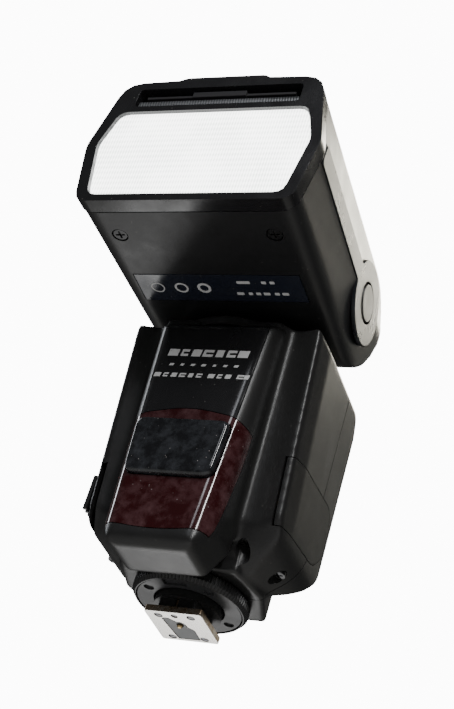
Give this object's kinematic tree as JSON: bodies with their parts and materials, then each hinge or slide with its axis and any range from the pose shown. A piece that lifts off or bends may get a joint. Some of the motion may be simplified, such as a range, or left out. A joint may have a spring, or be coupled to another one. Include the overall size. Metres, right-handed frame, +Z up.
{
  "type": "speedlight flash",
  "caption": "Shoe-mount flash: tilting, panning zoom head with pull-out panel and card, battery body with red window, rear keys, locking foot.",
  "frame": {"origin": "centre of the metal foot's underside", "axes": "+Z up, -Y the way the foot's front and the resting head face, +X towards the terminal cover"},
  "size_m": [0.077, 0.1042, 0.15],
  "materials": {
    "black_shell": "fine satin grain",
    "black_gloss": "polished",
    "grey_trim": "satin",
    "black_rubber": "soft matte",
    "red_lens": "polished, dark translucent",
    "clear_lens": "prismatic",
    "foot_metal": "bright plated",
    "steel": "turned",
    "brass": "plated",
    "grey_plastic": "satin",
    "label_print": "printed foil",
    "white_card": "matte white",
    "reflector_metal": "polished",
    "circuit_board": "solder mask"
  },
  "bodies": {
    "body": {"foot_plate": "foot_metal", "foot_insert": "grey_plastic", "foot_stem": "black_shell", "foot_screw_front_left": "steel", "foot_screw_front_right": "steel", "foot_screw_back_left": "steel", "foot_screw_back_right": "steel", "body_front_shell": "black_shell", "body_rear_shell": "black_shell", "red_window": "red_lens", "nose_panel": "black_gloss", "sensor_window": "black_gloss", "body_screw_front_left": "steel", "body_screw_front_right": "steel", "body_screw_back_left": "steel", "body_screw_back_right": "steel", "display_window": "clear_lens", "display_module": "grey_plastic", "battery_box": "black_shell", "main_capacitor": "black_gloss", "main_board": "circuit_board", "sync_socket": "brass", "power_socket": "black_shell"},
    "clamp": {"clamp_plate": "grey_plastic"},
    "ring": {"lock_ring": "black_shell"},
    "pin": {"lock_pin": "steel"},
    "contact": {"centre_contact": "brass"},
    "battery_door": {"battery_door": "black_shell"},
    "terminal_cover": {"terminal_cover": "black_rubber"},
    "key_1": {"function_key_1": "black_rubber"},
    "key_2": {"function_key_2": "black_rubber"},
    "key_3": {"function_key_3": "black_rubber"},
    "key_4": {"function_key_4": "black_rubber"},
    "selector": {"selector_pad": "black_rubber"},
    "ok": {"ok_button": "grey_trim"},
    "pilot": {"pilot_button": "clear_lens"},
    "power": {"power_button": "black_rubber"},
    "neck": {"neck_turntable": "black_shell", "neck_bracket": "black_shell", "tilt_axle": "steel"},
    "head": {"head_lower_shell": "black_shell", "head_upper_shell": "black_shell", "head_bezel": "black_gloss", "flash_window": "clear_lens", "label_plate": "label_print", "head_screw_left": "steel", "head_screw_right": "steel", "side_trim_left": "grey_trim", "side_trim_right": "grey_trim", "pivot_cap_left": "black_shell", "pivot_cap_right": "black_shell", "guide_rod_left": "steel", "guide_rod_right": "steel", "zoom_motor": "steel"},
    "wide_panel": {"wide_panel": "clear_lens"},
    "bounce_card": {"bounce_card": "white_card"},
    "zoom_carriage": {"zoom_carriage": "grey_plastic", "reflector": "reflector_metal", "flash_tube": "clear_lens"},
    "zoom_screw": {"zoom_screw": "steel"}
  },
  "joints": [
    {"name": "clamp_slide", "type": "slide", "parent": "body", "child": "clamp", "axis": [0, 0, -1], "range_m": [0, 0.003]},
    {"name": "ring_turn", "type": "hinge", "parent": "clamp", "child": "ring", "pos_m": [0, 0, 0.0095], "axis": [0, 0, 1], "range_deg": [0, 540]},
    {"name": "pin_slide", "type": "slide", "parent": "body", "child": "pin", "axis": [0, 0, -1], "range_m": [0, 0.0015]},
    {"name": "contact_press", "type": "slide", "parent": "body", "child": "contact", "axis": [0, 0, 1], "range_m": [0, 0.0009], "stiffness_N_per_m": 1000},
    {"name": "battery_door_swing", "type": "hinge", "parent": "body", "child": "battery_door", "pos_m": [-0.033, -0.025, 0.052], "axis": [0, 0, 1], "range_deg": [0, 100]},
    {"name": "terminal_cover_swing", "type": "hinge", "parent": "body", "child": "terminal_cover", "pos_m": [0.0315, -0.0262, 0.037], "axis": [0, 0, -1], "range_deg": [0, 95]},
    {"name": "key_1_press", "type": "slide", "parent": "body", "child": "key_1", "axis": [0, -1, 0], "range_m": [0, 0.0008], "stiffness_N_per_m": 800},
    {"name": "key_2_press", "type": "slide", "parent": "body", "child": "key_2", "axis": [0, -1, 0], "range_m": [0, 0.0008], "stiffness_N_per_m": 800},
    {"name": "key_3_press", "type": "slide", "parent": "body", "child": "key_3", "axis": [0, -1, 0], "range_m": [0, 0.0008], "stiffness_N_per_m": 800},
    {"name": "key_4_press", "type": "slide", "parent": "body", "child": "key_4", "axis": [0, -1, 0], "range_m": [0, 0.0008], "stiffness_N_per_m": 800},
    {"name": "selector_press", "type": "slide", "parent": "body", "child": "selector", "axis": [0, -1, 0], "range_m": [0, 0.0008], "stiffness_N_per_m": 800},
    {"name": "ok_press", "type": "slide", "parent": "body", "child": "ok", "axis": [0, -1, 0], "range_m": [0, 0.0008], "stiffness_N_per_m": 800},
    {"name": "pilot_press", "type": "slide", "parent": "body", "child": "pilot", "axis": [0, -1, 0], "range_m": [0, 0.0008], "stiffness_N_per_m": 800},
    {"name": "power_press", "type": "slide", "parent": "body", "child": "power", "axis": [0, -1, 0], "range_m": [0, 0.0008], "stiffness_N_per_m": 800},
    {"name": "head_pan", "type": "hinge", "parent": "body", "child": "neck", "pos_m": [0, -0.012, 0.09], "axis": [0, 0, 1], "range_deg": [-90, 180]},
    {"name": "head_tilt", "type": "hinge", "parent": "neck", "child": "head", "pos_m": [0, -0.012, 0.1164], "axis": [-1, 0, 0], "range_deg": [-7, 90]},
    {"name": "wide_panel_slide", "type": "slide", "parent": "head", "child": "wide_panel", "axis": [0, -1, 0], "range_m": [0, 0.045]},
    {"name": "bounce_card_slide", "type": "slide", "parent": "head", "child": "bounce_card", "axis": [0, -1, 0], "range_m": [0, 0.045]},
    {"name": "zoom_slide", "type": "slide", "parent": "head", "child": "zoom_carriage", "axis": [0, 1, 0], "range_m": [0, 0.0215]},
    {"name": "zoom_screw_turn", "type": "hinge", "parent": "head", "child": "zoom_screw", "pos_m": [0.0236, -0.047, 0.1333], "axis": [0, 1, 0], "range_deg": [0, 774]}
  ],
  "couplings": [
    {"joint": "clamp_slide", "follows": "ring_turn", "m_per_rad": 0.000318},
    {"joint": "pin_slide", "follows": "ring_turn", "m_per_rad": 0.000159},
    {"joint": "zoom_screw_turn", "follows": "zoom_slide", "rad_per_m": 628.32}
  ]
}
